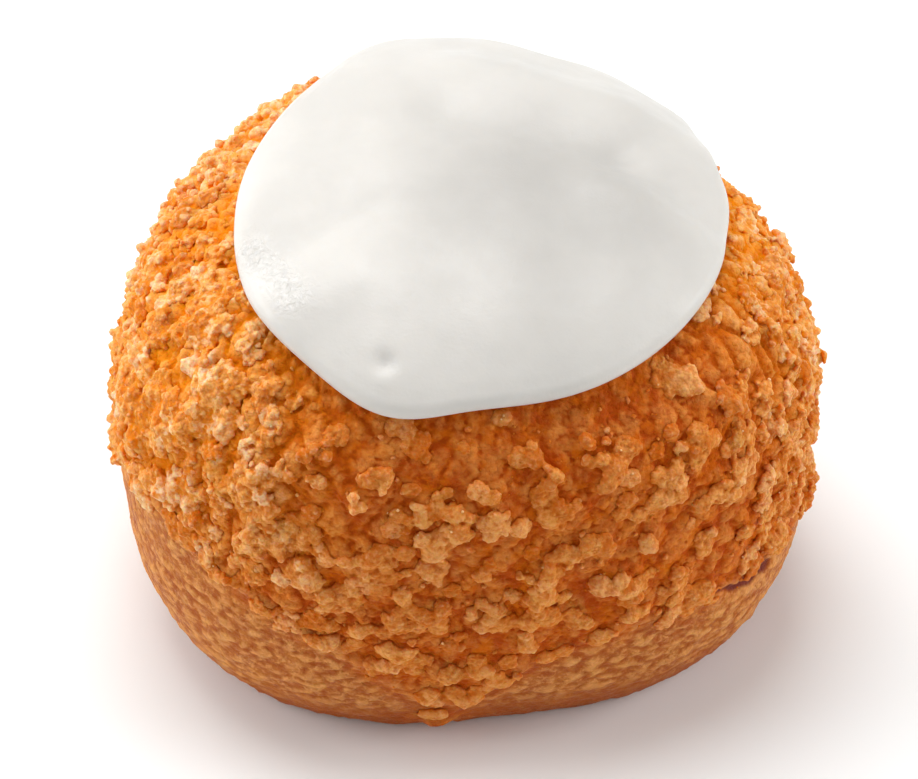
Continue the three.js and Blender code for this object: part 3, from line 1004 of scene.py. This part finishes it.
def body_material(colours):
    wires = Wiring(
        "baked_body", Subsurface_Weight=0.35, Subsurface_Radius=(1.0, 0.3, 0.05), Subsurface_Scale=1.0 * MM,
        Specular_IOR_Level=0.08,
    )
    colour = wires.mix(wires.measure("coated"), dough_colour(wires, colours), crust_colour(wires, colours))
    scorched = wires.ramp(wires.measure("scorched"), 0.2, 0.7)
    colour = wires.mix(scorched, colour, colours.scorch)
    roughness = wires.ramp(wires.noise(1.2 * MM), 0.3, 0.7, 0.42, 0.68)
    domes = wires.bump(wires.ramp(wires.cells(0.55 * MM), 0.0, 0.9, 1.0, 0.0), 0.2 * MM, 0.7)
    grain = wires.bump(wires.noise(0.35 * MM, 3, 0.65), 0.3 * MM, 0.9, domes)
    return wires.finish(Base_Color=colour, Roughness=roughness, Normal=grain)


def crumb_material(colours):
    """Craggy crumb: amber low down, tan to pale and dry on top, with painted highlight on its convex edges, painted
    shade deep in its crevices and a painted glow of light through it in its hollows.
    """
    wires = Wiring(
        "crumb", Subsurface_Weight=0.5, Subsurface_Radius=(1.0, 0.35, 0.06), Subsurface_Scale=0.8 * MM,
        Specular_IOR_Level=0.08,
    )
    tone = wires.measure("tone")
    # The golden share is partly painted light: the lit sides and the upper crust are painted more golden and paler.
    golden = wires.measure("golden")
    turned = wires.ramp(golden, 0.1, 0.7)
    glow = wires.mix(turned, colours.amber, colours.glow)
    baked = wires.mix(wires.ramp(tone, 0.0, 0.3, 0.35, 1.0), glow, colours.mottle_and_sheen)
    browned = wires.maths("MULTIPLY", wires.ramp(tone, 0.15, 0.6), wires.ramp(golden, 0.0, 0.5, 0.6, 1.0))
    browner = wires.mix(browned, baked, colours.tan)
    paler = wires.maths("MULTIPLY", wires.ramp(tone, 0.4, 1.0), wires.ramp(golden, 0.0, 0.5, 0.15, 1.0))
    top = wires.mix(paler, browner, colours.pale)
    # Painted highlight: the crumb's convex edges are lightened towards pale, more so on the golden sides.
    share = wires.ramp(golden, 0.0, 0.5, 0.34, 0.85)
    edges = wires.maths("MULTIPLY", wires.ramp(wires.measure("hollow"), -0.13, -0.02, 0.7, 0.0), share)
    top = wires.mix(edges, top, colours.pale)
    speckle = wires.ramp(wires.noise(0.7 * MM, 3, 0.65), 0.45, 0.65, 0.0, 0.55)
    top = wires.mix(speckle, top, glow)
    low = wires.ramp(wires.measure("lift"), -0.1, 0.6, 1.0, 0.0)
    colour = wires.mix(low, top, glow)
    # Painted shade deep in the crumb's crevices: they are darkened towards the deep colour.
    deep = wires.mix(turned, colours.deep, colours.glow)
    crevice_shade = wires.ramp(wires.measure("crevice_shade"), 0.0, 0.22, 0.0, 0.95)
    colour = wires.mix(crevice_shade, colour, deep)
    # Painted glow: the crumb's hollows are coloured towards a glowing orange, as if light shone through the crumb.
    hollow = wires.ramp(wires.measure("hollow"), 0.01, 0.12, 0.0, 0.6)
    colour = wires.mix(hollow, colour, glow)
    roughness = wires.ramp(wires.noise(0.6 * MM), 0.3, 0.7, 0.5, 0.78)
    domes = wires.bump(wires.ramp(wires.cells(0.4 * MM), 0.0, 0.9, 1.0, 0.0), 0.18 * MM, 0.75)
    grain = wires.bump(wires.noise(0.22 * MM, 3, 0.6), 0.18 * MM, 0.8, domes)
    return wires.finish(Base_Color=colour, Roughness=roughness, Normal=grain)


def sugar_material(colours):
    wires = Wiring(
        "sugar", Subsurface_Weight=0.5, Subsurface_Radius=(1.0, 0.8, 0.5), Subsurface_Scale=0.3 * MM,
        Specular_IOR_Level=0.7,
    )
    cloudy = wires.ramp(wires.noise(0.3 * MM), 0.3, 0.7)
    colour = wires.mix(cloudy, colours.tan, colours.pale)
    roughness = wires.ramp(wires.noise(0.2 * MM), 0.3, 0.7, 0.12, 0.4)
    return wires.finish(Base_Color=colour, Roughness=roughness, Normal=wires.bump(cloudy, 0.05 * MM, 0.4))


def icing_material(colours):
    """Set icing: warm white and satin, faintly uneven, with painted shade darkening its middle and right, fine sugar
    grain and tiny bubbles.
    """
    wires = Wiring(
        "icing", Subsurface_Weight=0.4, Subsurface_Radius=(1.0, 0.85, 0.7), Subsurface_Scale=1.6 * MM,
    )
    shade = wires.ramp(wires.noise(7 * MM, 3), 0.3, 0.7, 0.94, 1.0)
    # Painted shade over the icing's middle and right.
    shade = wires.maths("MULTIPLY", shade, wires.ramp(wires.measure("painted_shade"), 0.0, 1.0, 1.0, 0.76))
    colour = wires.mix(1.0, colours.icing, shade, "MULTIPLY")
    wrinkled = wires.measure("wrinkled")
    roughness = wires.ramp(wires.noise(3 * MM, 5, 0.65), 0.35, 0.65, 0.36, 0.5)
    roughness = wires.maths("MULTIPLY", roughness, wires.ramp(wrinkled, 0.0, 1.0, 1.0, 0.35))
    slow = wires.bump(wires.noise(1.4 * MM, 4), 0.12 * MM, 0.35)
    wrinkles = wires.bump(wires.noise(0.7 * MM, 4, 0.6, 0.8), 0.3 * MM, wrinkled, slow)
    fine = wires.bump(wires.noise(0.3 * MM, 2), 0.03 * MM, 0.5, wrinkles)
    shine = wires.ramp(wrinkled, 0.0, 1.0, 0.35, 1.0)
    return wires.finish(Base_Color=colour, Roughness=roughness, Normal=fine, Specular_IOR_Level=shine)


def floor_material(stage):
    wires = Wiring("floor", Roughness=0.9, Specular_IOR_Level=0.2)
    shade = wires.ramp(wires.noise(300 * MM), 0.3, 0.7, 0.99, 1.0)
    return wires.finish(Base_Color=wires.mix(1.0, tuple(stage.floor), shade, "MULTIPLY"))


# ---------------------------------------------------------------------------------------------------------------
# Operators
# ---------------------------------------------------------------------------------------------------------------

CRUMB_SEED = 77
MOST_TRIANGLES = 196000


class CHOUX_OT_body(bpy.types.Operator):
    """Make the bun's body of dough and bare crust"""

    bl_idname = "choux.body"
    bl_label = "Body"

    def execute(self, context):
        settings = context.scene
        mesh = make_body_mesh(all_crags(settings.choux_sizes), settings.choux_sizes)
        piece = add_piece("baked_body", mesh, body_material(settings.choux_colours))
        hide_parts("bun")
        return {"FINISHED"}


def filler_crags(count, random, sizes):
    """Small crags between the others, most of them where the crust is roughest."""
    crags = []
    while len(crags) < count:
        azimuth = random.uniform(-math.pi, math.pi)
        polar = math.acos(random.uniform(-0.6, 1))
        rough = max(bell(azimuth, side) for side in (CHUNKY_SIDE, RIDGED_SIDE, CRUMBLY_SIDE))
        length = random.uniform(0.8, 1.9) * MM
        shape = (length, length * random.uniform(0.6, 0.95), random.uniform(0.4, 1.0) * MM)
        crag = place_crag(azimuth, polar, random.uniform(0, math.pi), *shape, sizes)
        bare = distance_from_icing(crag.middle) > 0.2 * MM
        wanted = random.uniform(0, 1) < 0.12 + 0.88 * rough
        if bare and wanted and crag.middle[2] > crust_edge_height(azimuth) + 0.2 * MM:
            crags.append(crag)
    return crags


def crumb_piece(azimuth):
    """The name of the piece that a crag belongs to."""
    for name, side in (("crumb_lumps", CHUNKY_SIDE), ("crumb_ridges", RIDGED_SIDE), ("crumb_clumps", CRUMBLY_SIDE)):
        if bell(azimuth, side) > 0.4:
            return name
    return "crumb_flakes"


CRUMB_PIECES = {"crumb_clumps": CLUMPS, "crumb_flakes": FLAKES, "crumb_lumps": LUMPS, "crumb_ridges": RIDGES}


class CHOUX_OT_crumb(bpy.types.Operator):
    """Make the craggy crumb on the crust, one piece for each kind"""

    bl_idname = "choux.crumb"
    bl_label = "Crumb"

    def execute(self, context):
        sizes = context.scene.choux_sizes
        random = numpy.random.default_rng(CRUMB_SEED)
        material = crumb_material(context.scene.choux_colours)
        crags = all_crags(sizes)
        members = {name: [] for name in CRUMB_PIECES}
        for crag in crags + filler_crags(sizes.small_crags, random, sizes):
            members[crumb_piece(crag.azimuth)].append(crag)
        stones = grain_shapes(random, 1, 0.22)
        for name, kind in CRUMB_PIECES.items():
            grains = gather_grains(members[name], kind, crags, random, sizes)
            mesh = fused_crumb(name, grains, stones, sizes.crumb_detail, MOST_TRIANGLES)
            measure_crumb(mesh, grains, sizes)
            add_piece(name, mesh, material)
        return {"FINISHED"}


def scattered_places(count, random, sizes):
    """Even random places on the bare crust."""
    places = []
    while len(places) < count:
        azimuth = random.uniform(-math.pi, math.pi)
        polar = math.acos(random.uniform(-0.75, 1))
        point = baked_point(azimuth, polar, sizes)
        if distance_from_icing(point) > 0.8 * MM and point[2] > crust_edge_height(azimuth) - 0.5 * MM:
            places.append(point)
    return numpy.array(places)


def scattered_grains(count, radii, lift, random, sizes):
    """Single grains on the crust, more small ones than big ones."""
    crags = all_crags(sizes)
    places = scattered_places(count, random, sizes)
    radius = radii[0] + (radii[1] - radii[0]) * random.uniform(0, 1, count) ** 2.5
    middles, normals, feet = settle(places, lift * radius, crags, sizes)
    stretch = random.uniform(0.65, 1.35, (count, 3))
    turns = turned_frames(normals, random.uniform(0, math.pi, count))
    return Grains(middles, radius[:, None] * stretch, turns, random.uniform(0, 1, count), feet)


def perched_grains(count, radii, random):
    """Single grains on top of the crumb pieces, half sunk in them."""
    meshes = [bpy.data.objects[name].data for name in CRUMB_PIECES]
    points = numpy.concatenate([positions_of(mesh) for mesh in meshes])
    normals = numpy.concatenate([normals_of(mesh) for mesh in meshes])
    picked = random.choice(numpy.flatnonzero(normals[:, 2] > 0.2), count, replace=False)
    size = random.uniform(*radii, (count, 1)) * random.uniform(0.7, 1.3, (count, 3))
    turns = turned_frames(normals[picked], random.uniform(0, math.pi, count))
    return Grains(points[picked], size, turns, random.uniform(0, 1, count), numpy.zeros(count))


class CHOUX_OT_grains(bpy.types.Operator):
    """Scatter loose granules and sugar grains over the crust"""

    bl_idname = "choux.grains"
    bl_label = "Grains"

    def execute(self, context):
        sizes = context.scene.choux_sizes
        random = numpy.random.default_rng(CRUMB_SEED + 1)
        grains = scattered_grains(sizes.granules, (0.1 * MM, 0.38 * MM), 0.2, random, sizes)
        granules = grain_mesh("granules", grains, grain_shapes(random, 2, 0.4))
        measure_crumb(granules, grains, sizes)
        add_piece("granules", granules, crumb_material(context.scene.choux_colours))
        grains = perched_grains(sizes.sugar_grains, (0.09 * MM, 0.17 * MM), random)
        sugar = grain_mesh("sugar_grains", grains, grain_shapes(random, 1, 0.1))
        add_piece("sugar_grains", sugar, sugar_material(context.scene.choux_colours))
        return {"FINISHED"}


class CHOUX_OT_icing(bpy.types.Operator):
    """Pour the icing over the crown"""

    bl_idname = "choux.icing"
    bl_label = "Icing"

    def execute(self, context):
        mesh = make_icing_mesh(context.scene.choux_sizes)
        piece = add_piece("icing_pool", mesh, icing_material(context.scene.choux_colours))
        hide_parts("icing")
        return {"FINISHED"}


CAMERA_LENS = 180  # millimetres, on a sensor 36 millimetres wide
CAMERA_DISTANCE = 450 * MM
CAMERA_ELEVATION = 44 * DEGREE
CAMERA_TARGET = Vector((-0.6 * MM, -1.43 * MM, 22.75 * MM))
FLOOR_SIZE = 4.0


def add_area_light(name, direction, distance, size, power):
    light = bpy.data.lights.new(name, "AREA")
    light.shape = "DISK"
    light.size = size
    light.energy = power
    lamp = bpy.data.objects.new(name, light)
    bpy.context.scene.collection.objects.link(lamp)
    towards = Vector(direction).normalized()
    lamp.location = CAMERA_TARGET + towards * distance
    lamp.rotation_euler = towards.to_track_quat("Z", "Y").to_euler()


class CHOUX_OT_stage(bpy.types.Operator):
    """Set the floor, the light and the camera"""

    bl_idname = "choux.stage"
    bl_label = "Stage"

    def execute(self, context):
        stage = context.scene.choux_stage
        ground = bmesh.new()
        bmesh.ops.create_grid(ground, x_segments=1, y_segments=1, size=FLOOR_SIZE / 2)
        mesh = mesh_from("floor", ground)
        mesh.materials.append(floor_material(stage))
        floor = bpy.data.objects.new("floor", mesh)
        context.scene.collection.objects.link(floor)
        world = bpy.data.worlds.new("sky")
        world.use_nodes = True
        world.node_tree.nodes["Background"].inputs["Color"].default_value = (1, 1, 1, 1)
        world.node_tree.nodes["Background"].inputs["Strength"].default_value = stage.sky
        context.scene.world = world
        add_area_light("top", (-0.1, 0.2, 1), 0.6, 0.4, stage.top_power)
        add_area_light("front", (0.1, -1, 0.8), 0.6, 0.4, stage.front_power)
        add_area_light("left", (-1, 0, 0.45), 0.6, 0.4, stage.left_power)
        add_area_light("back", (-0.75, 0.75, 0.5), 0.6, 0.4, stage.back_power)
        add_area_light("right", (1, 0, 0.45), 0.6, 0.4, stage.right_power)
        lens = bpy.data.cameras.new("camera")
        lens.lens = CAMERA_LENS
        lens.clip_start = 10 * MM
        camera = bpy.data.objects.new("camera", lens)
        context.scene.collection.objects.link(camera)
        back = Vector((0, -math.cos(CAMERA_ELEVATION), math.sin(CAMERA_ELEVATION)))
        camera.location = CAMERA_TARGET + back * CAMERA_DISTANCE
        camera.rotation_euler = back.to_track_quat("Z", "Y").to_euler()
        context.scene.camera = camera
        context.scene.view_settings.view_transform = "Standard"
        return {"FINISHED"}


class CHOUX_PT_panel(bpy.types.Panel):
    """The bun's operators and settings"""

    bl_idname = "CHOUX_PT_panel"
    bl_label = "Choux bun"
    bl_space_type = "VIEW_3D"
    bl_region_type = "UI"
    bl_category = "Choux bun"

    def draw(self, context):
        for operator in OPERATORS:
            self.layout.operator(operator.bl_idname)
        for group in (context.scene.choux_sizes, context.scene.choux_colours, context.scene.choux_stage):
            for name in group.bl_rna.properties.keys():
                if name not in ("rna_type", "name"):
                    self.layout.prop(group, name)


OPERATORS = (CHOUX_OT_stage, CHOUX_OT_body, CHOUX_OT_crumb, CHOUX_OT_grains, CHOUX_OT_icing)
GROUPS = {"choux_sizes": ChouxBunSizes, "choux_colours": ChouxBunColours, "choux_stage": ChouxBunStage}


def register():
    for kind in (*GROUPS.values(), *OPERATORS, CHOUX_PT_panel):
        bpy.utils.register_class(kind)
    for name, group in GROUPS.items():
        setattr(bpy.types.Scene, name, bpy.props.PointerProperty(type=group))


def unregister():
    for name in GROUPS:
        delattr(bpy.types.Scene, name)
    for kind in reversed((*GROUPS.values(), *OPERATORS, CHOUX_PT_panel)):
        bpy.utils.unregister_class(kind)


def main():
    register()
    bpy.ops.choux.stage()
    bpy.ops.choux.body()
    bpy.ops.choux.crumb()
    bpy.ops.choux.grains()
    bpy.ops.choux.icing()


if __name__ == "__main__":
    main()
